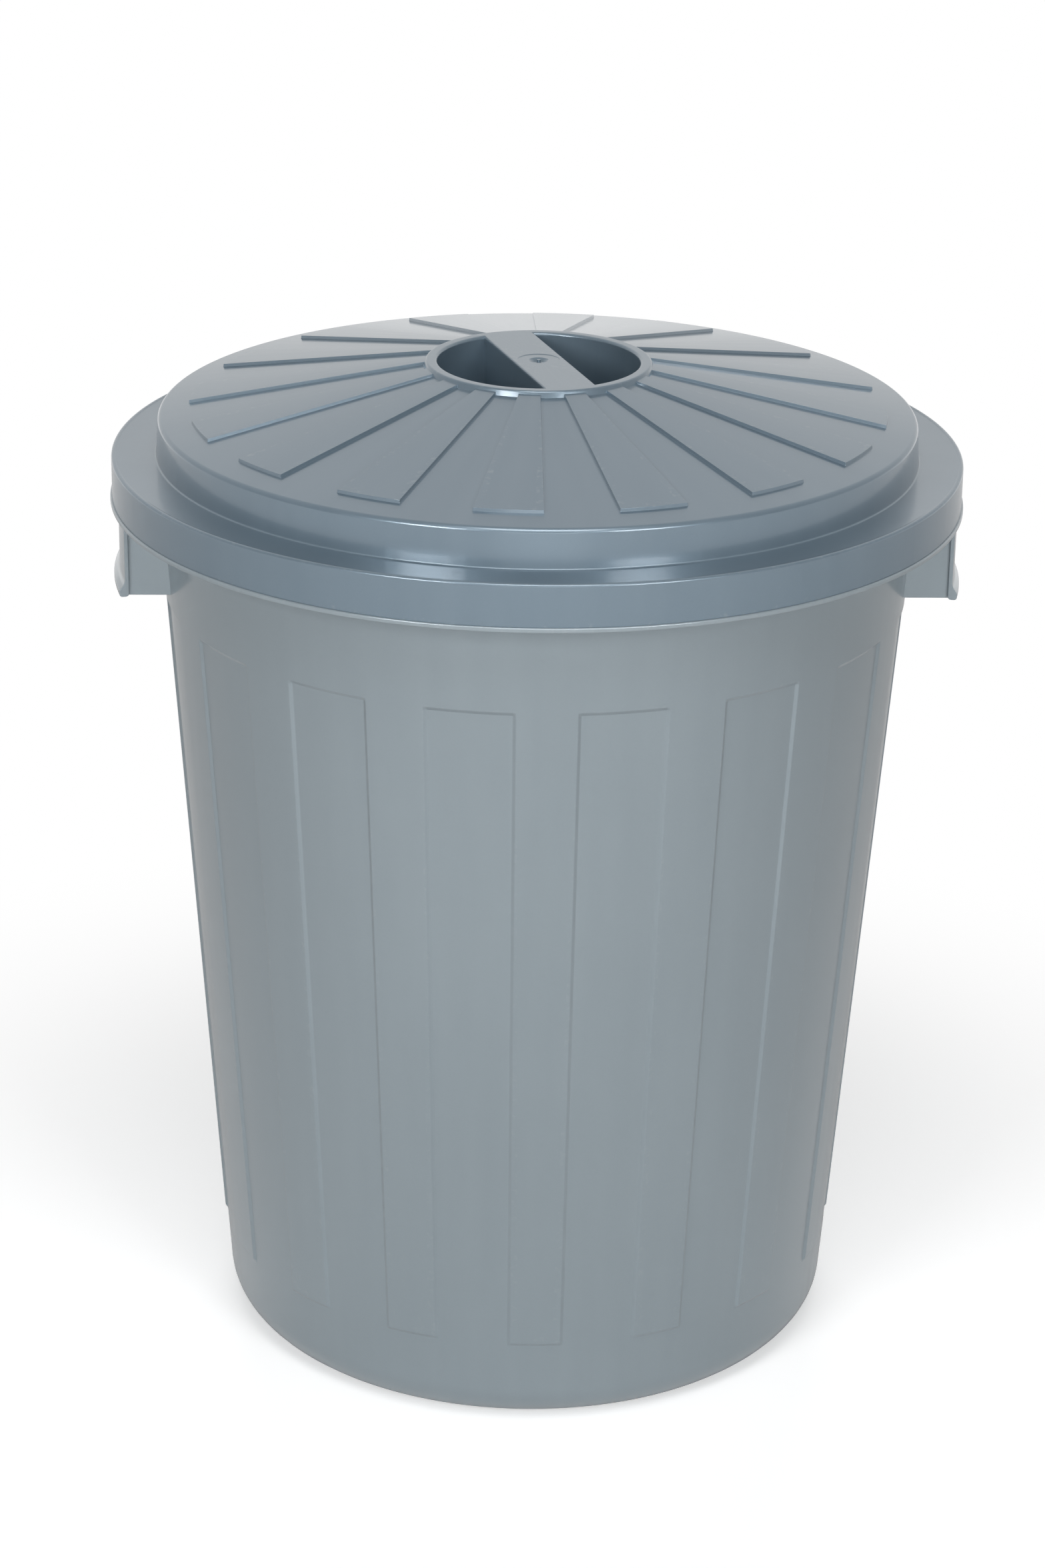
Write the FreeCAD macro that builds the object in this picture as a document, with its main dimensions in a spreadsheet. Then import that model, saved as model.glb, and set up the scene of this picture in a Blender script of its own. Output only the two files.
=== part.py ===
import FreeCAD, Part
import math
import operator
import os
import Sketcher

# Round moulded dustbin with a lift-off lid. It is two plastic mouldings:
#   bin_body  tapered tub with broad ribs, a stepped rim and two side grips
#   lid       domed cover with wedge pads and a hand grip let into its centre
# Millimetres, +Z up. The origin is the centre of the ground under the bin.
# The side grips lie on +X and -X, and one rib faces -Y.

os.makedirs("parts", exist_ok=True)
doc = FreeCAD.newDocument("dustbin")

DIMENSIONS = [
    # tub
    ("seat_height", 527.5, "top of the rim flange, where the lid rests"),
    ("rim_overhang", 26.1, "the lid's skirt stands out this far from the tub wall at the seat"),
    ("tub_narrowing", 37.5, "the tub wall comes in by this much from the seat to the ground"),
    ("tub_wall", 2.5, "wall of the tub"),
    ("base_round", 25.5, "outside round between wall and base"),
    ("foot_inset", 38.7, "tub wall, run on to the ground, to the inner edge of the foot ring"),
    ("foot_rise", 4.0, "the middle of the base stands this far off the ground"),
    ("floor_wall", 3.0, "floor of the tub"),
    # ribs
    ("rib_count", 16, "broad ribs round the tub"),
    ("rib_angle", 9.4, "degrees taken by one rib"),
    ("rib_bottom", 56.6, "foot of the ribs above the ground"),
    ("rim_zone", 62.4, "plain zone from the top of the strips to the seat"),
    ("rib_step", 1.5, "ribs stand proud of the strips by this much"),
    ("rib_step_run", 2.0, "height of the slanted step at the strip's top"),
    # rim
    ("flange_reach", 1.2, "the flange stands out past the lid's skirt"),
    ("flange_wall", 2.8, "flange of the rim"),
    ("flange_root_round", 3.0, "round where the wall turns out to the flange"),
    ("collar_height", 17.0, "collar inside the lid's skirt, above the seat"),
    ("collar_wall", 2.4, "wall of the collar"),
    ("collar_gap", 0.9, "clearance from the collar to the lid's skirt"),
    # side grips
    ("grip_inset", 4.1, "outside of the grip band, in from the flange's edge"),
    ("grip_wall", 2.4, "band and webs of the grip"),
    ("grip_drop", 50.9, "grip reaches this far below the seat"),
    ("grip_half_width", 52.0, "outer face of a web from the middle of the grip"),
    ("grip_overhang", 3.0, "the band runs past its webs by this much"),
    ("grip_lip_reach", 3.4, "lower lip stands out from the band"),
    ("grip_lip_edge", 4.0, "thickness of the lip's outer edge"),
    ("grip_lip_height", 8.4, "height of the lip's slope"),
    ("lip_under_round", 1.8, "round under the lip"),
    ("lip_edge_round", 1.0, "round on top of the lip's edge"),
    # lid
    ("lid_radius", 250.3, "outside of the lid's skirt"),
    ("lid_wall", 2.3, "wall of the lid"),
    ("skirt_height", 24.4, "skirt, from the seat to the ledge's outer edge"),
    ("skirt_round", 1.6, "round on top of the skirt"),
    ("ledge_fall", 0.6, "ledge falls this much towards the plateau wall"),
    ("ledge_width", 26.1, "ledge, from the skirt to the foot of the plateau wall"),
    ("plateau_draft", 1.4, "the plateau wall leans in by this much"),
    ("plateau_height", 22.4, "plateau edge above the foot of its wall"),
    ("plateau_round", 3.0, "round on the plateau edge"),
    ("cone_rise", 27.8, "cone rises from the plateau edge to the ring"),
    ("lid_turn", 16.24, "degrees that the lid is turned on the bin"),
    # wedge pads
    ("pad_count", 16, "raised wedges on the cone"),
    ("pad_angle", 10.9, "degrees taken by one wedge"),
    ("pad_end_gap", 18.0, "from the plateau edge in to a wedge's outer end"),
    ("pad_height", 1.8, "wedges stand proud of the cone"),
    ("pad_flank", 1.5, "wall of a wedge's flank at its inner end"),
    # grip in the middle of the lid
    ("ring_width", 6.6, "top of the raised ring round the cup"),
    ("ring_draft", 1.5, "the ring's outside runs out by this much to its foot"),
    ("ring_height", 3.8, "ring above the cone"),
    ("ring_round", 1.6, "rounds on the ring"),
    ("cup_radius", 59.4, "mouth of the cup"),
    ("cup_draft", 1.0, "the cup narrows by this much to its floor"),
    ("cup_depth", 40.0, "ring's top to the cup's floor"),
    ("bar_width", 30.5, "bar across the cup"),
    ("gate_radius", 12.6, "shallow round recess in the middle of the bar"),
    ("gate_depth", 0.4, "depth of that recess"),
    ("dimple_radius", 5.9, "cone-shaped dimple inside the recess"),
    ("dimple_depth", 1.7, "depth of the dimple"),
    ("nub_radius", 1.0, "gate nub standing in the dimple"),
    ("gate_boss_height", 2.2, "thicker disc under the dimple"),
]

sheet = doc.addObject("Spreadsheet::Sheet", "Sizes")
for row, (alias, number, note) in enumerate(DIMENSIONS, start=1):
    sheet.set(f"A{row}", alias)
    sheet.set(f"B{row}", str(number))
    sheet.set(f"C{row}", note)
    sheet.setAlias(f"B{row}", alias)
doc.recompute()


class Size:
    """A size that carries its number and its formula over the sheet's cells."""

    def __init__(self, number, formula):
        self.number = float(number)
        self.formula = formula

    def joined(self, other, sign, work):
        other = sized(other)
        return Size(work(self.number, other.number), f"({self.formula} {sign} {other.formula})")

    def __add__(self, other):
        return self.joined(other, "+", operator.add)

    def __sub__(self, other):
        return self.joined(other, "-", operator.sub)

    def __mul__(self, other):
        return self.joined(other, "*", operator.mul)

    def __truediv__(self, other):
        return self.joined(other, "/", operator.truediv)

    def __rsub__(self, other):
        return sized(other) - self

    def __rmul__(self, other):
        return self * other


def sized(value):
    return value if isinstance(value, Size) else Size(value, str(value))


def side_of(long_side, short_side):
    """The other short side of a right triangle."""
    number = math.sqrt(long_side.number ** 2 - short_side.number ** 2)
    return Size(number, f"sqrt({long_side.formula} ^ 2 - {short_side.formula} ^ 2)")


def angle_of(across, radius):
    """Degrees at the axis that a half-width takes on a circle."""
    number = math.degrees(math.asin(across.number / radius.number))
    return Size(number, f"(asin({across.formula} / {radius.formula}) / 1 deg)")


size = {alias: Size(number, f"Sizes.{alias}") for alias, number, note in DIMENSIONS}
zero = Size(0, "0")


def origin_plane(body, role):
    return next(part for part in body.Origin.OriginFeatures if part.Role == role)


def new_sketch(body, label, role="XZ_Plane", lift=None):
    """A sketch on one of the body's origin planes, lifted off it when asked."""
    sketch = body.newObject("Sketcher::SketchObject", label)
    sketch.AttachmentSupport = [(origin_plane(body, role), "")]
    sketch.MapMode = "FlatFace"
    if lift is not None:
        sketch.AttachmentOffset = FreeCAD.Placement(FreeCAD.Vector(0, 0, lift.number), FreeCAD.Rotation())
        sketch.setExpression("AttachmentOffset.Base.z", lift.formula)
    return sketch


def bind(sketch, constraint, length):
    """Add a dimension to the sketch and tie it to its formula."""
    index = sketch.addConstraint(constraint)
    sketch.setExpression(f"Constraints[{index}]", length.formula)


def pin_point(sketch, element, end, across, up):
    """Fix a point of the sketch at its two distances from the origin."""
    if across.number == 0:
        sketch.addConstraint(Sketcher.Constraint("PointOnObject", element, end, -2))
    else:
        bind(sketch, Sketcher.Constraint("DistanceX", -1, 1, element, end, across.number), across)
    if up.number == 0:
        sketch.addConstraint(Sketcher.Constraint("PointOnObject", element, end, -1))
    else:
        bind(sketch, Sketcher.Constraint("DistanceY", -1, 1, element, end, up.number), up)


def draw_outline(sketch, corners):
    """Close an outline through corners (across, up) or (across, up, round)."""
    spots = [FreeCAD.Vector(corner[0].number, corner[1].number, 0) for corner in corners]
    rounds = [corner[2] if len(corner) > 2 else None for corner in corners]
    count = len(corners)
    starts = []
    ends = []
    for here in range(count):
        before = (spots[here - 1] - spots[here]).normalize()
        after = (spots[(here + 1) % count] - spots[here]).normalize()
        cut = 0.0
        if rounds[here] is not None:
            cut = rounds[here].number / math.tan(before.getAngle(after) / 2)
        ends.append(spots[here] + before * cut)
        starts.append(spots[here] + after * cut)
    lines = [sketch.addGeometry(Part.LineSegment(starts[here], ends[(here + 1) % count]), False)
             for here in range(count)]
    for here in range(count):
        incoming = lines[here - 1]
        outgoing = lines[here]
        if rounds[here] is None:
            sketch.addConstraint(Sketcher.Constraint("Coincident", incoming, 2, outgoing, 1))
            pin_point(sketch, outgoing, 1, corners[here][0], corners[here][1])
            continue
        corner = sketch.addGeometry(Part.Point(spots[here]), True)
        pin_point(sketch, corner, 1, corners[here][0], corners[here][1])
        sketch.addConstraint(Sketcher.Constraint("PointOnObject", corner, 1, incoming))
        sketch.addConstraint(Sketcher.Constraint("PointOnObject", corner, 1, outgoing))
        before = (ends[here] - spots[here]).normalize()
        after = (starts[here] - spots[here]).normalize()
        reach = rounds[here].number / math.sin(before.getAngle(after) / 2)
        centre = spots[here] + (before + after).normalize() * reach
        turns_left = before.cross(after).z < 0
        first, last = (ends[here], starts[here]) if turns_left else (starts[here], ends[here])
        circle = Part.Circle(centre, FreeCAD.Vector(0, 0, 1), rounds[here].number)
        arc_start = math.atan2(first.y - centre.y, first.x - centre.x)
        arc_end = math.atan2(last.y - centre.y, last.x - centre.x)
        arc = sketch.addGeometry(Part.ArcOfCircle(circle, arc_start, arc_end), False)
        into, out_of = (1, 2) if turns_left else (2, 1)
        sketch.addConstraint(Sketcher.Constraint("Tangent", incoming, 2, arc, into))
        sketch.addConstraint(Sketcher.Constraint("Tangent", arc, out_of, outgoing, 1))
        bind(sketch, Sketcher.Constraint("Radius", arc, rounds[here].number), rounds[here])


def turned(body, kind, label, corners, angle=None):
    """Turn an outline about Z: all round, or through an angle centred on +X."""
    sketch = new_sketch(body, f"{label}_outline")
    draw_outline(sketch, corners)
    feature = body.newObject(f"PartDesign::{kind}", label)
    feature.Profile = sketch
    feature.ReferenceAxis = (sketch, ["V_Axis"])
    if angle is None:
        feature.Angle = 360
    else:
        feature.Midplane = True
        feature.Angle = angle.number
        feature.setExpression("Angle", angle.formula)
    sketch.Visibility = False
    return feature


def patterned(body, label, features, count):
    """Repeat features evenly round Z, count being a size or a plain number."""
    pattern = body.newObject("PartDesign::PolarPattern", label)
    pattern.Originals = features
    pattern.Axis = (origin_plane(body, "Z_Axis"), [""])
    pattern.Angle = 360
    pattern.Occurrences = int(sized(count).number)
    if isinstance(count, Size):
        pattern.setExpression("Occurrences", count.formula)
    body.Tip = pattern
    return pattern


def volume_of(feature):
    doc.recompute()
    return feature.Shape.Volume


def check_grew(label, before, after):
    if after <= before + 1:
        raise RuntimeError(f"{label} added nothing")


def check_shrank(label, before, after):
    if after >= before - 1:
        raise RuntimeError(f"{label} cut nothing")


# ---------------------------------------------------------------- the tub
tub_rim_radius = size["lid_radius"] - size["rim_overhang"]
tub_base_radius = tub_rim_radius - size["tub_narrowing"]
tub_taper = size["tub_narrowing"] / size["seat_height"]


def tub_radius(height):
    """Outside radius of the ribs and the upper zone at a height."""
    return tub_base_radius + height * tub_taper


def strip_radius(height):
    """Outside radius of the strips between the ribs at a height."""
    return tub_radius(height) - size["rib_step"]


flange_radius = size["lid_radius"] + size["flange_reach"]
collar_radius = size["lid_radius"] - size["lid_wall"] - size["collar_gap"]
collar_top = size["seat_height"] + size["collar_height"]
flange_bottom = size["seat_height"] - size["flange_wall"]
rib_top = size["seat_height"] - size["rim_zone"]
step_top = rib_top + size["rib_step_run"]
inner_step_top = step_top + size["tub_wall"]
inner_step_bottom = rib_top + size["tub_wall"]
foot_radius = tub_base_radius - size["foot_inset"]
foot_slope_top = foot_radius - size["foot_rise"]
raised_floor = size["foot_rise"] + size["floor_wall"]
inner_foot = foot_radius + size["tub_wall"]

bin_body = doc.addObject("PartDesign::Body", "bin_body")
bin_body.Label = "bin_body"
tub = turned(bin_body, "Revolution", "tub", [
    (zero, size["foot_rise"]),
    (foot_slope_top, size["foot_rise"]),
    (foot_radius, zero),
    (strip_radius(zero), zero, size["base_round"]),
    (strip_radius(rib_top), rib_top),
    (tub_radius(step_top), step_top),
    (tub_radius(flange_bottom), flange_bottom, size["flange_root_round"]),
    (flange_radius, flange_bottom),
    (flange_radius, size["seat_height"]),
    (collar_radius, size["seat_height"]),
    (collar_radius, collar_top),
    (collar_radius - size["collar_wall"], collar_top),
    (collar_radius - size["collar_wall"], size["seat_height"]),
    (tub_radius(size["seat_height"]) - size["tub_wall"], size["seat_height"]),
    (tub_radius(inner_step_top) - size["tub_wall"], inner_step_top),
    (strip_radius(inner_step_bottom) - size["tub_wall"], inner_step_bottom),
    (strip_radius(size["floor_wall"]) - size["tub_wall"], size["floor_wall"],
     size["base_round"] - size["tub_wall"]),
    (inner_foot, size["floor_wall"]),
    (inner_foot - size["foot_rise"], raised_floor),
    (zero, raised_floor),
])
tub_volume = volume_of(tub)

# A rib is the same wall pushed out between its two flanks, so its back is hollow.
wall_middle = size["rib_step"] + size["tub_wall"] / 2
rib_hollow_angle = size["rib_angle"] - 2 * angle_of(size["tub_wall"], tub_base_radius)
rib = turned(bin_body, "Revolution", "rib", [
    (tub_radius(size["rib_bottom"]) - wall_middle, size["rib_bottom"]),
    (tub_radius(size["rib_bottom"]), size["rib_bottom"]),
    (tub_radius(step_top), step_top),
    (tub_radius(step_top) - wall_middle, step_top),
], size["rib_angle"])
ribs = patterned(bin_body, "ribs", [rib], size["rib_count"])
ribbed_volume = volume_of(ribs)
check_grew("ribs", tub_volume, ribbed_volume)

hollow_bottom = size["rib_bottom"] + size["tub_wall"]
strip_back = size["rib_step"] + size["tub_wall"]
behind_strip = strip_back + size["rib_step"]
rib_hollow = turned(bin_body, "Groove", "rib_hollow", [
    (tub_radius(hollow_bottom) - behind_strip, hollow_bottom),
    (tub_radius(hollow_bottom) - size["tub_wall"], hollow_bottom),
    (tub_radius(inner_step_top) - size["tub_wall"], inner_step_top),
    (tub_radius(inner_step_top) - behind_strip, inner_step_top),
], rib_hollow_angle)
rib_hollows = patterned(bin_body, "rib_hollows", [rib_hollow], size["rib_count"])
hollowed_volume = volume_of(rib_hollows)
check_shrank("rib_hollows", ribbed_volume, hollowed_volume)

# ---------------------------------------------------------------- side grips
grip_bottom = size["seat_height"] - size["grip_drop"]
grip_radius = flange_radius - size["grip_inset"]
grip_inner_radius = grip_radius - size["grip_wall"]
grip_root = size["seat_height"] - size["flange_wall"] / 2
lip_radius = grip_radius + size["grip_lip_reach"]
band_half_width = size["grip_half_width"] + size["grip_overhang"]
band = turned(bin_body, "Revolution", "grip_band", [
    (grip_inner_radius, grip_bottom, size["grip_wall"]),
    (lip_radius, grip_bottom, size["lip_under_round"]),
    (lip_radius, grip_bottom + size["grip_lip_edge"], size["lip_edge_round"]),
    (grip_radius, grip_bottom + size["grip_lip_height"], size["grip_lip_height"]),
    (grip_radius, grip_root),
    (grip_inner_radius, grip_root),
], 2 * angle_of(band_half_width, grip_radius))

web_end_radius = grip_radius - size["grip_wall"] / 2
wall_middle_in = size["tub_wall"] / 2
webs = []
for web_name, web_face in (("front_web", size["grip_half_width"]),
                           ("rear_web", size["grip_wall"] - size["grip_half_width"])):
    web_sketch = new_sketch(bin_body, f"{web_name}_outline", lift=web_face)
    draw_outline(web_sketch, [
        (side_of(tub_radius(grip_bottom) - wall_middle_in, size["grip_half_width"]), grip_bottom),
        (side_of(web_end_radius, size["grip_half_width"]), grip_bottom),
        (side_of(web_end_radius, size["grip_half_width"]), grip_root),
        (side_of(tub_radius(grip_root) - wall_middle_in, size["grip_half_width"]), grip_root),
    ])
    web = bin_body.newObject("PartDesign::Pad", web_name)
    web.Profile = web_sketch
    web.Reversed = True
    web.Length = size["grip_wall"].number
    web.setExpression("Length", size["grip_wall"].formula)
    web_sketch.Visibility = False
    webs.append(web)
grips = patterned(bin_body, "grips", [band] + webs, 2)
check_grew("grips", hollowed_volume, volume_of(grips))

# ---------------------------------------------------------------- the lid
lid_wall = size["lid_wall"]
plateau_foot_radius = size["lid_radius"] - size["ledge_width"]
plateau_radius = plateau_foot_radius - size["plateau_draft"]
pad_outer_radius = plateau_radius - size["pad_end_gap"]
ring_radius = size["cup_radius"] + size["ring_width"]
ring_foot_radius = ring_radius + size["ring_draft"]
ledge_edge = size["seat_height"] + size["skirt_height"]
ledge_foot = ledge_edge - size["ledge_fall"]
plateau_edge = ledge_foot + size["plateau_height"]
cone_top = plateau_edge + size["cone_rise"]
ring_top = cone_top + size["ring_height"]
cup_floor = ring_top - size["cup_depth"]
cup_floor_radius = size["cup_radius"] - size["cup_draft"]
cone_slope = size["cone_rise"] / (plateau_radius - ring_foot_radius)


def cone_height(radius):
    """Height of the cone's outside at a radius."""
    return plateau_edge + (plateau_radius - radius) * cone_slope


cup_outer_radius = size["cup_radius"] + lid_wall
cup_foot_round = lid_wall
skirt_inner_radius = size["lid_radius"] - lid_wall
lid = doc.addObject("PartDesign::Body", "lid")
lid.Label = "lid"
shell = turned(lid, "Revolution", "lid_shell", [
    (skirt_inner_radius, size["seat_height"]),
    (size["lid_radius"], size["seat_height"]),
    (size["lid_radius"], ledge_edge, size["skirt_round"]),
    (plateau_foot_radius, ledge_foot),
    (plateau_radius, plateau_edge, size["plateau_round"]),
    (ring_foot_radius, cone_top),
    (ring_radius, ring_top, size["ring_round"]),
    (size["cup_radius"], ring_top, size["ring_round"]),
    (cup_floor_radius, cup_floor, cup_foot_round),
    (zero, cup_floor),
    (zero, cup_floor - lid_wall),
    (cup_floor_radius + lid_wall, cup_floor - lid_wall, cup_foot_round + lid_wall),
    (cup_outer_radius, cone_height(cup_outer_radius) - lid_wall),
    (plateau_radius - lid_wall, cone_height(plateau_radius - lid_wall) - lid_wall),
    (plateau_foot_radius - lid_wall, ledge_foot - lid_wall),
    (skirt_inner_radius, ledge_edge - lid_wall),
])
shell_volume = volume_of(shell)

# A wedge is the cone pushed up between its two flanks, so its underside is hollow.
half_wall = lid_wall / 2
pad_inner_radius = ring_foot_radius - half_wall
pad_hollow_angle = size["pad_angle"] - 2 * angle_of(size["pad_flank"], ring_foot_radius)
pad = turned(lid, "Revolution", "pad", [
    (pad_inner_radius, cone_height(pad_inner_radius) - half_wall),
    (pad_outer_radius, cone_height(pad_outer_radius) - half_wall),
    (pad_outer_radius, cone_height(pad_outer_radius) + size["pad_height"]),
    (pad_inner_radius, cone_height(pad_inner_radius) + size["pad_height"]),
], size["pad_angle"])
pads = patterned(lid, "pads", [pad], size["pad_count"])
padded_volume = volume_of(pads)
check_grew("pads", shell_volume, padded_volume)

pad_hollow_inner = ring_foot_radius + lid_wall
pad_hollow_outer = pad_outer_radius - lid_wall
pad_hollow_top = size["pad_height"] - lid_wall
pad_hollow_bottom = lid_wall + size["pad_height"]
pad_hollow = turned(lid, "Groove", "pad_hollow", [
    (pad_hollow_inner, cone_height(pad_hollow_inner) - pad_hollow_bottom),
    (pad_hollow_outer, cone_height(pad_hollow_outer) - pad_hollow_bottom),
    (pad_hollow_outer, cone_height(pad_hollow_outer) + pad_hollow_top),
    (pad_hollow_inner, cone_height(pad_hollow_inner) + pad_hollow_top),
], pad_hollow_angle)
pad_hollows = patterned(lid, "pad_hollows", [pad_hollow], size["pad_count"])
pad_hollowed_volume = volume_of(pad_hollows)
check_shrank("pad_hollows", padded_volume, pad_hollowed_volume)


def bar_outline(sketch, width, radius):
    """A bar along Y whose two ends follow a circle."""
    half = width / 2
    reach = side_of(radius, half)
    corner = math.atan2(reach.number, half.number)
    circle = Part.Circle(FreeCAD.Vector(), FreeCAD.Vector(0, 0, 1), radius.number)
    rear = sketch.addGeometry(Part.ArcOfCircle(circle, corner, math.pi - corner), False)
    front = sketch.addGeometry(Part.ArcOfCircle(circle, -math.pi + corner, -corner), False)
    across = FreeCAD.Vector(half.number, 0, 0)
    along = FreeCAD.Vector(0, reach.number, 0)
    left = sketch.addGeometry(Part.LineSegment(along - across, -along - across), False)
    right = sketch.addGeometry(Part.LineSegment(across - along, across + along), False)
    sketch.addConstraint(Sketcher.Constraint("Coincident", rear, 2, left, 1))
    sketch.addConstraint(Sketcher.Constraint("Coincident", left, 2, front, 1))
    sketch.addConstraint(Sketcher.Constraint("Coincident", front, 2, right, 1))
    sketch.addConstraint(Sketcher.Constraint("Coincident", right, 2, rear, 1))
    sketch.addConstraint(Sketcher.Constraint("Coincident", rear, 3, -1, 1))
    sketch.addConstraint(Sketcher.Constraint("Coincident", front, 3, -1, 1))
    sketch.addConstraint(Sketcher.Constraint("Vertical", left))
    sketch.addConstraint(Sketcher.Constraint("Vertical", right))
    sketch.addConstraint(Sketcher.Constraint("Equal", rear, front))
    bind(sketch, Sketcher.Constraint("Radius", rear, radius.number), radius)
    bind(sketch, Sketcher.Constraint("DistanceX", left, 1, -1, 1, half.number), half)
    bind(sketch, Sketcher.Constraint("DistanceX", -1, 1, right, 1, half.number), half)


bar_sketch = new_sketch(lid, "bar_outline", "XY_Plane", cup_floor - half_wall)
bar_outline(bar_sketch, size["bar_width"], size["cup_radius"] + half_wall)
bar = lid.newObject("PartDesign::Pad", "bar")
bar.Profile = bar_sketch
bar_height = size["cup_depth"] + half_wall
bar.Length = bar_height.number
bar.setExpression("Length", bar_height.formula)
bar_volume = volume_of(bar)
check_grew("bar", pad_hollowed_volume, bar_volume)

both_walls = lid_wall * 2
slot_sketch = new_sketch(lid, "bar_hollow_outline", "XY_Plane", cup_floor - both_walls)
bar_outline(slot_sketch, size["bar_width"] - both_walls, cup_floor_radius - lid_wall)
bar_hollow = lid.newObject("PartDesign::Pocket", "bar_hollow")
bar_hollow.Profile = slot_sketch
bar_hollow.Reversed = True
slot_height = size["cup_depth"] + lid_wall
bar_hollow.Length = slot_height.number
bar_hollow.setExpression("Length", slot_height.formula)
slotted_volume = volume_of(bar_hollow)
check_shrank("bar_hollow", bar_volume, slotted_volume)

bar_ceiling = ring_top - lid_wall
gate_boss_radius = size["dimple_radius"] + lid_wall
gate_boss = turned(lid, "Revolution", "gate_boss", [
    (zero, bar_ceiling - size["gate_boss_height"]),
    (gate_boss_radius, bar_ceiling - size["gate_boss_height"]),
    (gate_boss_radius, bar_ceiling + half_wall),
    (zero, bar_ceiling + half_wall),
])
boss_volume = volume_of(gate_boss)
check_grew("gate_boss", slotted_volume, boss_volume)

recess_floor = ring_top - size["gate_depth"]
dimple_floor = recess_floor - size["dimple_depth"]
nub_foot = size["nub_radius"] * 2
gate_mark = turned(lid, "Groove", "gate_mark", [
    (zero, ring_top),
    (size["nub_radius"], ring_top),
    (size["nub_radius"], dimple_floor),
    (nub_foot, dimple_floor),
    (size["dimple_radius"], recess_floor),
    (size["gate_radius"], recess_floor),
    (size["gate_radius"], ring_top + half_wall),
    (zero, ring_top + half_wall),
])
check_shrank("gate_mark", boss_volume, volume_of(gate_mark))

turn = FreeCAD.Rotation(FreeCAD.Vector(0, 0, 1), size["lid_turn"].number)
lid.Placement = FreeCAD.Placement(FreeCAD.Vector(), turn)
lid.setExpression("Placement.Rotation.Angle", size["lid_turn"].formula)
doc.recompute()

# ---------------------------------------------------------------- check and write
for item in doc.Objects:
    if "Invalid" in item.State or "Error" in item.State:
        raise RuntimeError(f"{item.Label} failed: {item.State}")
for piece in (bin_body, lid):
    if piece.Shape.isNull() or not piece.Shape.isValid() or len(piece.Shape.Solids) != 1:
        raise RuntimeError(f"{piece.Label} is not one valid solid")
    print(piece.Label, "volume", round(piece.Shape.Volume), "mm3")
    piece.Shape.exportStep(f"parts/{piece.Label}.step")
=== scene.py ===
import math

import bmesh
import bpy
from mathutils import Matrix, Vector


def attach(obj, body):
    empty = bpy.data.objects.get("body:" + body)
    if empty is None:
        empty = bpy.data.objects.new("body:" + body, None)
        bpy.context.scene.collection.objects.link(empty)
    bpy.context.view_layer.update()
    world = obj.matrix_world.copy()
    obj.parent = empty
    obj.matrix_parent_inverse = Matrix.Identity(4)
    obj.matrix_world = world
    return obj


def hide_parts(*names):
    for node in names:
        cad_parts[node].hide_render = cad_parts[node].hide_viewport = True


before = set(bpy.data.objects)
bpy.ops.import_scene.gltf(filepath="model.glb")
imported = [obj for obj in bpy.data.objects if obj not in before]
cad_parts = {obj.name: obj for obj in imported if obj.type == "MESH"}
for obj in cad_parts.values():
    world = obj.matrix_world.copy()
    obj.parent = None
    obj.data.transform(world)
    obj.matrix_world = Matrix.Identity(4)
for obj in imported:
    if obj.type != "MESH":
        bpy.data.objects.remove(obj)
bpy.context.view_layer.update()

# ------------------------------------------------------------------ the tub
# Injection moulded in one shot from grey plastic with metal flake in it: a
# tapered tub, sixteen broad ribs, a flange that the lid rests on and a collar
# that keeps the lid in place. Inside and outside follow each other.
seat_height = 0.5275
rim_radius = 0.2242
base_radius = 0.1867
middle_radius = 0.2
tub_wall = 0.0025
rib_count = 16
rib_half = math.radians(4.7)
rib_bottom = 0.0566
rib_top = 0.4651
rib_step = 0.0015
rib_edge_round = 0.0004
half_step = 0.0010
flank_run = 0.0018
inner_strip_end = rib_bottom + 0.0015
inner_rib_bottom = rib_bottom + 0.0035
inner_rib_top = rib_top + 0.0025
inner_step_top = rib_top + 0.0045
flange_radius = 0.2514
flange_bottom = 0.5247
collar_radius = 0.2471
collar_top = 0.5445
collar_inner = 0.2447
foot_radius = 0.1480
foot_rise = 0.0040
floor_top = 0.0030
pitch_half = math.pi / rib_count
up = Vector((0, 0, 1))
slack = 0.0002
fine_merge = 0.000005
sector_merge = 0.00002
least_reach = 0.05
on_axis = 0.001


def tub_radius(height):
    return base_radius + (rim_radius - base_radius) * height / seat_height


def strip_radius(height):
    return tub_radius(height) - rib_step


def outline(corners, closed=False):
    """A wire through corners (radius, height, round, steps of the round) on the XZ plane."""
    bm = bmesh.new()
    spots = [Vector((corner[0], 0, corner[1])) for corner in corners]
    verts = [bm.verts.new(spot) for spot in spots]
    pairs = list(zip(verts, verts[1:] + verts[:1]))
    for a, b in pairs if closed else pairs[:-1]:
        bm.edges.new((a, b))
    for i, corner in enumerate(corners):
        if len(corner) > 2:
            following = spots[(i + 1) % len(spots)]
            opening = (spots[i - 1] - spots[i]).angle(following - spots[i])
            cut = corner[2] / math.tan(opening / 2)
            bmesh.ops.bevel(bm, geom=[verts[i]], offset=cut, offset_type="OFFSET", segments=corner[3],
                            profile=0.5, affect="VERTICES", material=-1)
    return bm


def verts_of(geom):
    return [g for g in geom if isinstance(g, bmesh.types.BMVert)]


def swept(bm, geom, angle, steps):
    """Sweep a wire round Z and hand back its last copy."""
    done = bmesh.ops.spin(bm, geom=geom, cent=(0, 0, 0), axis=up, angle=angle, steps=steps,
                          use_merge=False, use_duplicate=False)
    return done["geom_last"]


def run_on(v, run):
    """Move a vertex round Z by a length."""
    reach = max(math.hypot(v.co.x, v.co.y), least_reach)
    v.co = Matrix.Rotation(run / reach, 3, "Z") @ v.co


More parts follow.
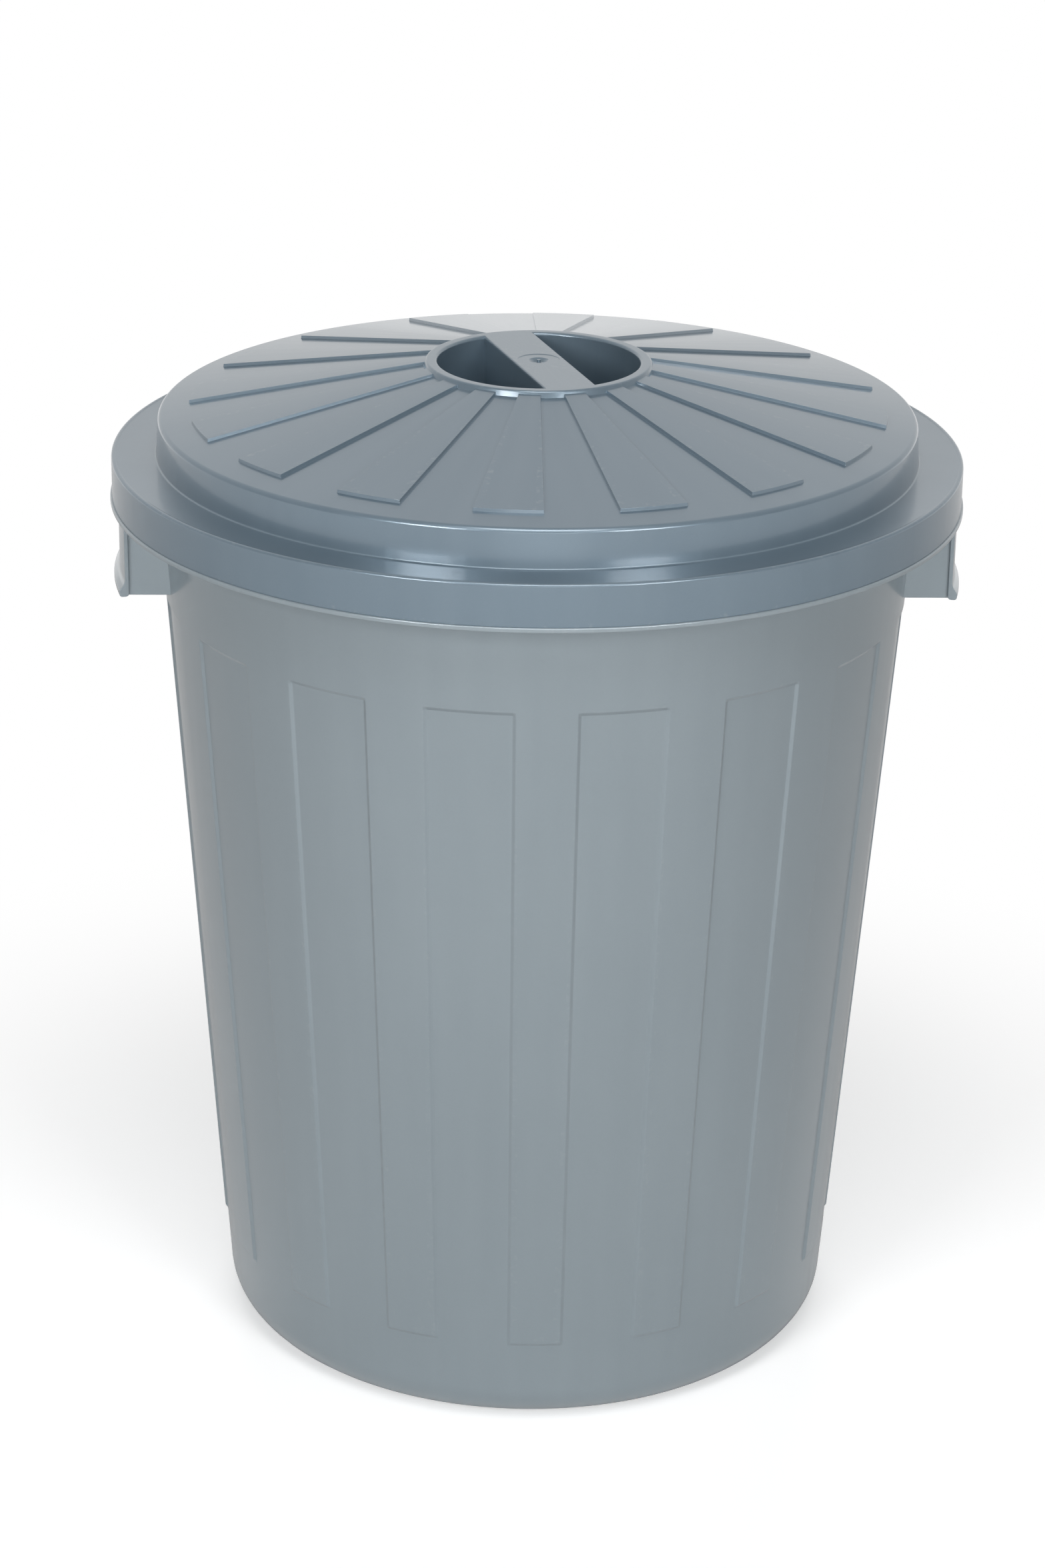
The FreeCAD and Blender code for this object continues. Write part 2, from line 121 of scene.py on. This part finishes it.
def flank(bm, geom, run, change):
    """One more copy of the wire, run on by a length across, then shaped by change."""
    edges = [g for g in geom if isinstance(g, bmesh.types.BMEdge)]
    made = bmesh.ops.extrude_edge_only(bm, edges=edges)["geom"]
    for v in {v for e in edges for v in e.verts}:
        run_on(v, -run / 2)
    for v in verts_of(made):
        run_on(v, run / 2)
        change(v)
    return [g for g in made if isinstance(g, (bmesh.types.BMEdge, bmesh.types.BMVert))]


def all_round(bm, count, near):
    """Put the last copy of a wire on the end of its half sector, mirror that and repeat it round Z."""
    for v in bm.verts:
        reach = math.hypot(v.co.x, v.co.y)
        if reach > on_axis and abs(math.atan2(v.co.y, v.co.x) - pitch_half) < near:
            v.co = Vector((reach * math.cos(pitch_half), reach * math.sin(pitch_half), v.co.z))
    geom = bm.verts[:] + bm.edges[:] + bm.faces[:]
    bmesh.ops.mirror(bm, geom=geom, axis="Y", merge_dist=-1)
    sector = bm.verts[:] + bm.edges[:] + bm.faces[:]
    for i in range(1, count):
        copy = bmesh.ops.duplicate(bm, geom=sector)["geom"]
        turn = Matrix.Rotation(2 * math.pi * i / count, 3, "Z")
        bmesh.ops.rotate(bm, verts=verts_of(copy), cent=(0, 0, 0), matrix=turn)
    bmesh.ops.remove_doubles(bm, verts=bm.verts[:], dist=sector_merge)
    bmesh.ops.recalc_face_normals(bm, faces=bm.faces[:])


def rounded(bm, edges, offset, steps):
    bmesh.ops.bevel(bm, geom=edges, offset=offset, offset_type="OFFSET", segments=steps, profile=0.5,
                    affect="EDGES", clamp_overlap=True, material=-1)


def soften(bm, offset, where):
    """Round the sharper edges that where() picks by their middle."""
    edges = []
    for e in bm.edges:
        if len(e.link_faces) == 2 and e.calc_face_angle(0) > math.radians(20):
            if where((e.verts[0].co + e.verts[1].co) / 2):
                edges.append(e)
    rounded(bm, edges, offset, 2)


def placed(name, bm):
    """Turn a bmesh into an object of the scene."""
    mesh = bpy.data.meshes.new(name)
    bm.to_mesh(mesh)
    bm.free()
    thing = bpy.data.objects.new(name, mesh)
    bpy.context.scene.collection.objects.link(thing)
    return thing


def combined(bm, tools, operation):
    """Join closed shapes to a bmesh or cut them out of it."""
    base = placed("base", bm)
    for tool_bm in tools:
        tool = placed("tool", tool_bm)
        change = base.modifiers.new("change", "BOOLEAN")
        change.operation = operation
        change.solver = "EXACT"
        change.object = tool
        bpy.context.view_layer.update()
        depsgraph = bpy.context.evaluated_depsgraph_get()
        result = bpy.data.meshes.new_from_object(base.evaluated_get(depsgraph))
        base.modifiers.clear()
        base.data = result
        bpy.data.objects.remove(tool)
    out = bmesh.new()
    out.from_mesh(base.data)
    bpy.data.objects.remove(base)
    bmesh.ops.remove_doubles(out, verts=out.verts[:], dist=fine_merge)
    return out


def moulding(name, bm, plastic):
    """A smooth shaded piece. Its layer "rubbed" grows with the sharpness of an outer edge."""
    rub_from, rub_span = 120, 300
    layer = bm.verts.layers.float.new("rubbed")
    for vert in bm.verts:
        bend = 0
        for e in vert.link_edges:
            if len(e.link_faces) == 2 and e.is_convex:
                width = min(f.calc_area() for f in e.link_faces) / max(e.calc_length(), 0.00001)
                bend = max(bend, e.calc_face_angle(0) / max(width, 0.0001))
        vert[layer] = min(1, max(0, (bend - rub_from) / rub_span))
    thing = placed(name, bm)
    for face in thing.data.polygons:
        face.use_smooth = True
    thing.data.set_sharp_from_angle(angle=math.radians(42))
    thing.data.materials.append(plastic)
    weights = thing.modifiers.new("even shading", "WEIGHTED_NORMAL")
    weights.keep_sharp = True
    weights.weight = 50
    return thing


tub = outline([
    (0, foot_rise),
    (foot_radius - foot_rise, foot_rise, 0.0020, 2),
    (foot_radius, 0, 0.0020, 2),
    (strip_radius(0), 0, 0.0255, 10),
    (strip_radius(rib_bottom), rib_bottom - half_step),
    (tub_radius(rib_bottom), rib_bottom + half_step),
    (tub_radius(rib_top), rib_top),
    (tub_radius(rib_top + 2 * half_step), rib_top + 2 * half_step),
    (tub_radius(flange_bottom), flange_bottom, 0.0030, 4),
    (flange_radius, flange_bottom, 0.0005, 3),
    (flange_radius, seat_height, 0.0008, 4),
    (collar_radius, seat_height),
    (collar_radius, collar_top, 0.0006, 2),
    (collar_inner, collar_top, 0.0006, 2),
    (collar_inner, seat_height, 0.0012, 2),
    (tub_radius(seat_height) - tub_wall, seat_height, 0.0030, 3),
    (tub_radius(inner_step_top) - tub_wall, inner_step_top),
    (tub_radius(inner_rib_top) - tub_wall, inner_rib_top),
    (tub_radius(inner_rib_bottom) - tub_wall, inner_rib_bottom),
    (strip_radius(inner_strip_end) - tub_wall, inner_strip_end),
    (strip_radius(floor_top) - tub_wall, floor_top, 0.0230, 8),
    (foot_radius + tub_wall, floor_top),
    (foot_radius + tub_wall - foot_rise, floor_top + foot_rise),
    (0, floor_top + foot_rise),
])


def to_strip(v):
    """Take the wall between the ribs in by one step."""
    outer = math.hypot(v.co.x, v.co.y) > tub_radius(v.co.z) - tub_wall / 2
    low = rib_bottom + half_step if outer else inner_rib_bottom
    high = rib_top if outer else inner_rib_top
    if low - slack <= v.co.z <= high + slack:
        v.co -= Vector((v.co.x, v.co.y, 0)).normalized() * rib_step


def on_rib_edge(middle):
    above, depth = 0.004, 0.0021
    outer = middle.xy.length > tub_radius(middle.z) - depth
    return outer and rib_bottom - above < middle.z < rib_top + above


rib_edge = swept(tub, tub.verts[:] + tub.edges[:], rib_half, 3)
strip_edge = flank(tub, rib_edge, flank_run, to_strip)
swept(tub, strip_edge, pitch_half - rib_half - flank_run / 2 / middle_radius, 4)
all_round(tub, rib_count, 0.003)
soften(tub, rib_edge_round, on_rib_edge)

# The plastic is satin from a polished mould. Its flake lies in faint clouds and
# in streaks from the flow of the melt, and sharp outer edges are rubbed lighter.


class Value:
    """A socket that takes part in Python sums by adding Math nodes."""

    def __init__(self, finish, socket):
        self.finish = finish
        self.socket = socket

    def sum_with(self, operation, first, second):
        return self.finish.add("ShaderNodeMath", {"operation": operation}, {0: first, 1: second})

    def __add__(self, other):
        return self.sum_with("ADD", self, other)

    def __radd__(self, other):
        return self.sum_with("ADD", other, self)

    def __sub__(self, other):
        return self.sum_with("SUBTRACT", self, other)

    def __rsub__(self, other):
        return self.sum_with("SUBTRACT", other, self)

    def __mul__(self, other):
        return self.sum_with("MULTIPLY", self, other)

    def __rmul__(self, other):
        return self.sum_with("MULTIPLY", other, self)


class Finish:
    """The nodes of a material or of the world, added one by one."""

    def __init__(self, holder):
        holder.use_nodes = True
        self.tree = holder.node_tree
        self.tree.nodes.clear()

    def add(self, kind, settings, values, output=0):
        node = self.tree.nodes.new(kind)
        for key, value in settings.items():
            setattr(node, key, value)
        for key, value in values.items():
            socket = node.inputs[key]
            if isinstance(value, Value):
                self.tree.links.new(value.socket, socket)
            else:
                socket.default_value = value
        return Value(self, node.outputs[output]) if len(node.outputs) else node


def moulded_plastic(name, deep, light):
    """Grey polypropylene with metal flake, between a deep and a light colour."""
    rubbed_grey = (0.46, 0.50, 0.52, 1)
    plastic = bpy.data.materials.new(name)
    finish = Finish(plastic)
    place = finish.add("ShaderNodeTexCoord", {}, {}, "Object")
    height = finish.add("ShaderNodeSeparateXYZ", {}, {"Vector": place}, "Z")
    flat = finish.add("ShaderNodeVectorMath", {"operation": "MULTIPLY"}, {0: place, 1: (1, 1, 0)})
    away = finish.add("ShaderNodeVectorMath", {"operation": "LENGTH"}, {0: flat}, "Value")
    course = finish.add("ShaderNodeVectorMath", {"operation": "NORMALIZE"}, {0: flat})
    along = finish.add("ShaderNodeCombineXYZ", {}, {"Z": 0.5 * (height + away)})
    run = finish.add("ShaderNodeVectorMath", {"operation": "ADD"}, {0: course, 1: along})
    cloud = finish.add("ShaderNodeTexNoise", {}, {"Vector": place, "Scale": 6.0, "Detail": 4.0})
    flow = finish.add("ShaderNodeTexNoise", {}, {"Vector": run, "Scale": 17.0, "Detail": 1.0})
    flake = finish.add("ShaderNodeTexNoise", {}, {"Vector": place, "Scale": 1100.0, "Detail": 1.0})
    chips = finish.add("ShaderNodeTexNoise", {}, {"Vector": place, "Scale": 260.0, "Detail": 3.0})
    rubbed = finish.add("ShaderNodeAttribute", {"attribute_name": "rubbed"}, {}, "Fac")
    wear = rubbed * rubbed * rubbed * (0.30 + chips)
    worn = finish.add("ShaderNodeMapRange", {}, {
        "Value": wear, "From Min": 0.84, "From Max": 1.05, "To Max": 0.16})
    mottle = 0.5 * cloud + 0.3 * flow + 0.2 * flake
    blend = {"data_type": "RGBA"}
    colour = finish.add("ShaderNodeMix", blend, {"Factor": mottle, 6: deep, 7: light}, 2)
    colour = finish.add("ShaderNodeMix", blend, {"Factor": worn, 6: colour, 7: rubbed_grey}, 2)
    skin = finish.add("ShaderNodeBump", {}, {"Strength": 0.04, "Distance": 0.0002, "Height": flake + cloud})
    rough = 0.30 + 0.10 * (cloud - 0.5) + 0.06 * (flow - 0.5)
    coat = 0.80 - 0.30 * worn + 0.20 * (flow - 0.5)
    shader = finish.add("ShaderNodeBsdfPrincipled", {}, {
        "Base Color": colour, "Metallic": 0.40, "Roughness": rough, "Coat Weight": coat,
        "Coat Roughness": 0.12, "Normal": skin})
    finish.add("ShaderNodeOutputMaterial", {}, {"Surface": shader})
    return plastic


tub_plastic = moulded_plastic("tub_plastic_finish", (0.286, 0.341, 0.376, 1), (0.342, 0.402, 0.438, 1))

# ------------------------------------------------------------------ side grips
# Moulded with the tub: a band hangs from the flange and two flat webs hold it
# off the wall, so that four fingers fit behind. The band's foot turns out to a
# rounded lip, and the band runs a little past both webs.
right_grip_radius = 0.2483
left_grip_radius = 0.2468
grip_wall = 0.0024
grip_bottom = 0.4766
grip_root = 0.5261
web_face = 0.0520
web_bottom = grip_bottom + 0.0002
band_half = 0.0550
band_steps = 18
lip_reach = 0.0034
lip_face_top = grip_bottom + 0.0040
lip_top = grip_bottom + 0.0084


def grip_band(side, grip_radius):
    lip_radius = min(grip_radius + lip_reach, flange_radius)
    bm = outline([
        (grip_radius - grip_wall, grip_bottom, 0.0020, 4),
        (lip_radius, grip_bottom, 0.0018, 4),
        (lip_radius, lip_face_top, 0.0010, 3),
        (grip_radius, lip_top, 0.0070, 5),
        (grip_radius, grip_root),
        (grip_radius - grip_wall, grip_root),
    ], True)
    bmesh.ops.contextual_create(bm, geom=bm.edges[:])
    reach = math.asin(band_half / grip_radius)
    start = bm.faces[:]
    bmesh.ops.rotate(bm, verts=bm.verts[:], cent=(0, 0, 0), matrix=Matrix.Rotation(-reach, 3, "Z"))
    swept(bm, start, 2 * reach, band_steps)
    bmesh.ops.remove_doubles(bm, verts=bm.verts[:], dist=fine_merge)
    bmesh.ops.recalc_face_normals(bm, faces=bm.faces[:])
    square, longest, cap_corners = 1.2, 0.06, 6
    ends = [e for e in bm.edges if len(e.link_faces) == 2 and e.calc_face_angle(0) > square
            and e.calc_length() < longest and max(len(f.verts) for f in e.link_faces) > cap_corners]
    rounded(bm, ends, 0.0004, 2)
    if side < 0:
        bmesh.ops.rotate(bm, verts=bm.verts[:], cent=(0, 0, 0), matrix=Matrix.Rotation(math.pi, 3, "Z"))
    return bm


def web_reach(radius):
    """How far along X a web's outer face meets a circle."""
    return math.sqrt(radius ** 2 - web_face ** 2)


def grip_web(side, front, grip_radius):
    inner = web_reach(tub_radius(grip_bottom) - tub_wall / 2)
    outer = web_reach(grip_radius - grip_wall / 2)
    top_inner = web_reach(tub_radius(grip_root) - tub_wall / 2)
    near = web_face - grip_wall
    bm = bmesh.new()
    corners = [(inner, web_bottom), (outer, web_bottom), (outer, grip_root), (top_inner, grip_root)]
    face = bm.faces.new([bm.verts.new((x * side, near * front, z)) for x, z in corners])
    made = bmesh.ops.extrude_face_region(bm, geom=[face])["geom"]
    bmesh.ops.translate(bm, verts=verts_of(made), vec=(0, grip_wall * front, 0))
    bmesh.ops.recalc_face_normals(bm, faces=bm.faces[:])
    low = [e for e in bm.edges if all(v.co.z < grip_bottom + 0.001 for v in e.verts)
           and abs(e.verts[0].co.x - e.verts[1].co.x) > 0.005]
    rounded(bm, low, 0.0006, 2)
    return bm


grips = []
for side, radius in ((1, right_grip_radius), (-1, left_grip_radius)):
    grips.append(grip_band(side, radius))
    for front in (1, -1):
        grips.append(grip_web(side, front, radius))
tub = combined(tub, grips, "UNION")
bin_moulding = moulding("bin_moulding", tub, tub_plastic)
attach(bin_moulding, "bin")
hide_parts("bin_body")

# ------------------------------------------------------------------ the lid
# One moulding of the same plastic: a skirt that drops over the collar, a flat
# ledge, an upright wall and a shallow cone with sixteen raised wedges. In the
# middle a raised ring and a deep cup with a bar across it make the handle.
lid_radius = 0.2503
lid_wall = 0.0023
ledge_edge = 0.5519
ledge_foot = 0.5513
ledge_band = 0.0026
ledge_band_end = 0.0030
ledge_band_step = 0.0003
plateau_foot = 0.2242
plateau_radius = 0.2228
plateau_edge = 0.5737
cone_top = 0.6015
cone_middle = 0.15
ring_foot = 0.0675
ring_radius = 0.0660
ring_top = 0.6053
cup_radius = 0.0594
cup_floor = 0.5653
cup_floor_radius = 0.0584
pad_half = math.radians(5.45)
pad_outer = 0.2048
pad_height = 0.0018
pad_flank = 0.0002
pad_edge_round = 0.0001
pad_end = pad_flank / 2
inner_pad_end = pad_outer - lid_wall
inner_cone_start = inner_pad_end + 0.0012
lid_turn = math.radians(16.24)
ring_slope = (ring_foot - ring_radius) / (ring_top - cone_top)
raised_ring_foot = ring_foot - ring_slope * pad_height


def cone_height(radius):
    return plateau_edge + (plateau_radius - radius) * (cone_top - plateau_edge) / (plateau_radius - ring_foot)


def inner_height(radius):
    return cone_height(radius) - lid_wall


lid = outline([
    (lid_radius - lid_wall, seat_height),
    (lid_radius, seat_height, 0.0002, 2),
    (lid_radius, ledge_edge, 0.0016, 5),
    (lid_radius - ledge_band, ledge_edge),
    (lid_radius - ledge_band_end, ledge_edge - ledge_band_step),
    (plateau_foot, ledge_foot, 0.0010, 3),
    (plateau_radius, plateau_edge, 0.0030, 8),
    (pad_outer + pad_end, cone_height(pad_outer + pad_end)),
    (pad_outer - pad_end, cone_height(pad_outer - pad_end) + pad_height),
    (raised_ring_foot, cone_top + pad_height),
    (ring_radius, ring_top, 0.0014, 4),
    (cup_radius, ring_top, 0.0018, 5),
    (cup_floor_radius, cup_floor, 0.0030, 4),
    (0, cup_floor),
])
under = outline([
    (0, cup_floor - lid_wall),
    (cup_floor_radius + lid_wall, cup_floor - lid_wall, 0.0046, 4),
    (cup_radius + lid_wall, inner_height(cup_radius + lid_wall)),
    (ring_foot + lid_wall, inner_height(ring_foot + lid_wall) + pad_height),
    (inner_pad_end, inner_height(inner_pad_end) + pad_height),
    (inner_cone_start, inner_height(inner_cone_start)),
    (plateau_radius - lid_wall, inner_height(plateau_radius - lid_wall), 0.0010, 2),
    (plateau_foot - lid_wall, ledge_foot - lid_wall, 0.0030, 3),
    (lid_radius - lid_wall, ledge_edge - lid_wall, 0.0006, 2),
])
under_mesh = bpy.data.meshes.new("under")
under.to_mesh(under_mesh)
under.free()
lid.from_mesh(under_mesh)
skirt_ends = [v for v in lid.verts if len(v.link_edges) == 1 and v.co.x > cup_radius]
lid.edges.new(sorted(skirt_ends, key=lambda v: v.co.z))


def to_cone(v):
    """Let the surface between the wedges down to the cone."""
    reach = math.hypot(v.co.x, v.co.y)
    top_side = v.co.z > cone_height(reach) - lid_wall / 2
    on_pad = raised_ring_foot - slack < reach < pad_outer + 0.0001 and v.co.z < ring_top - 0.001
    under_pad = ring_foot + 0.001 < reach < inner_pad_end + slack
    if top_side and on_pad:
        v.co.z -= pad_height
        if reach < ring_foot:
            v.co += Vector((v.co.x, v.co.y, 0)).normalized() * (ring_foot - raised_ring_foot)
    elif under_pad and not top_side:
        v.co.z -= pad_height


def on_pad_edge(middle):
    reach = middle.xy.length
    across = raised_ring_foot - 0.001 < reach < pad_outer + 0.002
    return across and cone_height(reach) - 0.001 < middle.z < ring_top - 0.0012


pad_edge = swept(lid, lid.verts[:] + lid.edges[:], pad_half, 4)
cone_edge = flank(lid, pad_edge, pad_flank, to_cone)
swept(lid, cone_edge, pitch_half - pad_half - pad_flank / 2 / cone_middle, 4)
all_round(lid, rib_count, 0.012)
soften(lid, pad_edge_round, on_pad_edge)

# The bar is part of the same moulding. It is hollow from below, its top lies
# flush with the ring, and its two long edges are rounded for the hand. The
# moulding's gate leaves a shallow recess, a dimple and a short nub on it.
bar_half = 0.01525
bar_reach = 0.0616
bar_taper = 0.983
bar_edge_round = 0.0022
bar_fillet = 0.0014
hollow_top = ring_top - lid_wall - 0.0018
gate_radius = 0.0128
gate_floor = ring_top - 0.0003
dimple_floor = ring_top - 0.0021
nub_top = ring_top - 0.00005


def bar_block(half, reach, low, high, edge_round, foot=1.0):
    """A bar along Y cut from a round block, so that its ends follow the cup."""
    bm = bmesh.new()
    bmesh.ops.create_circle(bm, cap_ends=True, segments=160, radius=reach)
    bmesh.ops.translate(bm, verts=bm.verts[:], vec=(0, 0, low))
    made = bmesh.ops.extrude_face_region(bm, geom=bm.faces[:])["geom"]
    bmesh.ops.translate(bm, verts=verts_of(made), vec=(0, 0, high - low))
    feet = [v for v in bm.verts if v.co.z < (low + high) / 2]
    bmesh.ops.scale(bm, verts=feet, vec=(foot, foot, 1))
    for side in (1, -1):
        geom = bm.verts[:] + bm.edges[:] + bm.faces[:]
        bmesh.ops.bisect_plane(bm, geom=geom, dist=0.000001, plane_co=(half * side, 0, 0),
                               plane_no=(side, 0, 0), clear_outer=True)
        rim = [e for e in bm.edges if len(e.link_faces) == 1]
        bmesh.ops.contextual_create(bm, geom=rim)
    bmesh.ops.recalc_face_normals(bm, faces=bm.faces[:])
    if edge_round:
        edges = [e for e in bm.edges if all(v.co.z > high - 0.0001 for v in e.verts)
                 and abs(e.verts[0].co.y - e.verts[1].co.y) > 0.05]
        bmesh.ops.bevel(bm, geom=edges, offset=edge_round, offset_type="OFFSET", segments=6, profile=0.5,
                        affect="EDGES", material=-1)
    return bm


def spun_tool(corners):
    bm = outline(corners)
    bmesh.ops.spin(bm, geom=bm.verts[:] + bm.edges[:], cent=(0, 0, 0), axis=up, angle=2 * math.pi, steps=64,
                   use_merge=True, use_duplicate=False)
    bmesh.ops.remove_doubles(bm, verts=bm.verts[:], dist=fine_merge)
    bmesh.ops.recalc_face_normals(bm, faces=bm.faces[:])
    return bm


def on_bar_corner(v):
    """Where the bar's long sides meet the wall of the cup."""
    beside = abs(abs(v.co.x) - bar_half) < 0.0003 and v.co.xy.length < cup_radius + 0.0004
    return beside and cup_floor + 0.002 < v.co.z < ring_top - 0.001


bar = bar_block(bar_half, bar_reach, cup_floor - lid_wall / 2, ring_top, bar_edge_round, bar_taper)
lid = combined(lid, [bar], "UNION")
bar_corners = [e for e in lid.edges if len(e.link_faces) == 2 and e.calc_face_angle(0) > 0.5
               and all(on_bar_corner(v) for v in e.verts)]
rounded(lid, bar_corners, bar_fillet, 4)
gate_cut = spun_tool([
    (0, ring_top + 0.002),
    (gate_radius, ring_top + 0.002),
    (gate_radius, ring_top + 0.0001),
    (gate_radius - 0.0005, gate_floor, 0.0003, 2),
    (0.0059, gate_floor, 0.0005, 2),
    (0.0030, dimple_floor, 0.0008, 3),
    (0.0012, dimple_floor),
    (0.0010, nub_top),
    (0, nub_top),
])
hollow = bar_block(bar_half - lid_wall, cup_floor_radius - lid_wall, cup_floor - 2 * lid_wall, hollow_top, 0)
lid = combined(lid, [hollow, gate_cut], "DIFFERENCE")
bmesh.ops.rotate(lid, verts=lid.verts[:], cent=(0, 0, 0), matrix=Matrix.Rotation(lid_turn, 3, "Z"))
# The lid is the tub's plastic, but its colours are painted darker and bluer than the tub's: painted shade, so
# that its upward faces stay as dim as the tub under the lamp from above.
lid_plastic_painted_shade = moulded_plastic("lid_plastic_painted_shade_finish", (0.154, 0.214, 0.266, 1), (0.204, 0.272, 0.328, 1))
lid_moulding = moulding("lid_moulding", lid, lid_plastic_painted_shade)
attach(lid_moulding, "cover")
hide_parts("lid")

# ------------------------------------------------------------------ floor
# A plain pale studio floor. To the camera it has some light of its own, so that
# it reads as white and still keeps the bin's soft shadow. In reflections it is
# white further off and has hardly any light of its own close by.
white = (1, 1, 1, 1)
pale_grey = (0.80, 0.80, 0.80, 1)
floor_half = 15


def ray_kinds(finish):
    """Whether a ray comes from the camera, from a reflection or through glass."""
    camera_ray = finish.add("ShaderNodeLightPath", {}, {}, "Is Camera Ray")
    outputs = camera_ray.socket.node.outputs
    return camera_ray, Value(finish, outputs["Is Glossy Ray"]), Value(finish, outputs["Is Transmission Ray"])


floor_bm = bmesh.new()
bmesh.ops.create_grid(floor_bm, x_segments=1, y_segments=1, size=floor_half)
floor = placed("studio_floor", floor_bm)
floor_paint = bpy.data.materials.new("pale_floor")
pale = Finish(floor_paint)
seen, glossy, through = ray_kinds(pale)
spot = pale.add("ShaderNodeTexCoord", {}, {}, "Object")
far = pale.add("ShaderNodeVectorMath", {"operation": "LENGTH"}, {0: spot}, "Value")
near_fade = pale.add("ShaderNodeMapRange", {"interpolation_type": "SMOOTHSTEP"}, {
    "Value": far, "From Min": 0.28, "From Max": 0.75})
far_fade = pale.add("ShaderNodeMapRange", {"interpolation_type": "SMOOTHSTEP"}, {
    "Value": far, "From Min": 1.20, "From Max": 3.20})
own_light = 0.48 * seen + 0.05 * (glossy + through)
all_white = seen * near_fade + (glossy + through) * far_fade
matt = pale.add("ShaderNodeBsdfDiffuse", {}, {"Color": pale_grey})
glow = pale.add("ShaderNodeEmission", {}, {"Color": white, "Strength": own_light})
lit = pale.add("ShaderNodeAddShader", {}, {0: matt, 1: glow})
blank = pale.add("ShaderNodeEmission", {}, {"Color": white, "Strength": 1.0})
both = pale.add("ShaderNodeMixShader", {}, {0: all_white, 1: lit, 2: blank})
pale.add("ShaderNodeOutputMaterial", {}, {"Surface": both})
floor.data.materials.append(floor_paint)

# ------------------------------------------------------------------ light
# A white room and plain soft boxes round the bin, as for a catalogue picture.
# In reflections the room is dimmer, most of all on the camera's side, so that
# the gloss doesn't drown the grey of the plastic.
room = bpy.data.worlds.new("white_room")
bpy.context.scene.world = room
sky = Finish(room)
seen, glossy, through = ray_kinds(sky)
heading = sky.add("ShaderNodeTexCoord", {}, {}, "Generated")
backward = sky.add("ShaderNodeSeparateXYZ", {}, {0: heading}, "Y")
mirrored = sky.add("ShaderNodeMapRange", {}, {
    "Value": backward, "From Min": -0.25, "From Max": 0.75, "To Min": 0.30, "To Max": 0.78})
shown = seen + glossy * mirrored + through
level = sky.add("ShaderNodeMapRange", {}, {"Value": shown, "To Min": 0.06, "To Max": 1.0})
backdrop = sky.add("ShaderNodeBackground", {}, {"Color": white, "Strength": level})
sky.add("ShaderNodeOutputWorld", {}, {"Surface": backdrop})


def soft_box(name, place, aim_height, width, height, power):
    lamp = bpy.data.lights.new(name, "AREA")
    lamp.shape = "RECTANGLE"
    lamp.size = width
    lamp.size_y = height
    lamp.energy = power
    thing = bpy.data.objects.new(name, lamp)
    thing.location = place
    thing.rotation_mode = "QUATERNION"
    thing.rotation_quaternion = (Vector((0, 0, aim_height)) - Vector(place)).to_track_quat("-Z", "Y")
    bpy.context.scene.collection.objects.link(thing)
    return thing


soft_box("left_box", (-1.65, -2.55, 1.7), 0.35, 0.9, 0.9, 32)
soft_box("right_box", (1.45, -2.70, 1.6), 0.35, 0.9, 0.9, 26)
soft_box("top_box", (0, -1.9, 3.3), 0.35, 1.6, 1.6, 40)
soft_box("low_box", (0, -3.0, 0.7), 0.30, 1.2, 1.2, 6)
back_box = soft_box("back_box", (0, 3.2, 1.6), 0.30, 2.0, 1.4, 38)
back_box.visible_glossy = False

# ------------------------------------------------------------------ camera
# Where the photographer stood: 2.4 m away and 22 degrees above the middle of
# the bin, with a long lens and a slight lean.
stand = Vector((-0.07795, -2.23225, 1.23006))
sight = Vector((-0.00595, 0.00021, 0.33791))
lean = 0.0144
camera_data = bpy.data.cameras.new("camera")
camera_data.sensor_width = 36
camera_data.lens = 90.54
camera_data.clip_end = 100
camera = bpy.data.objects.new("camera", camera_data)
camera.location = stand
camera.rotation_mode = "QUATERNION"
tilt = Matrix.Rotation(lean, 3, "Z").to_quaternion()
camera.rotation_quaternion = (sight - stand).to_track_quat("-Z", "Y") @ tilt
bpy.context.scene.collection.objects.link(camera)
bpy.context.scene.camera = camera
bpy.context.scene.view_settings.view_transform = "Standard"
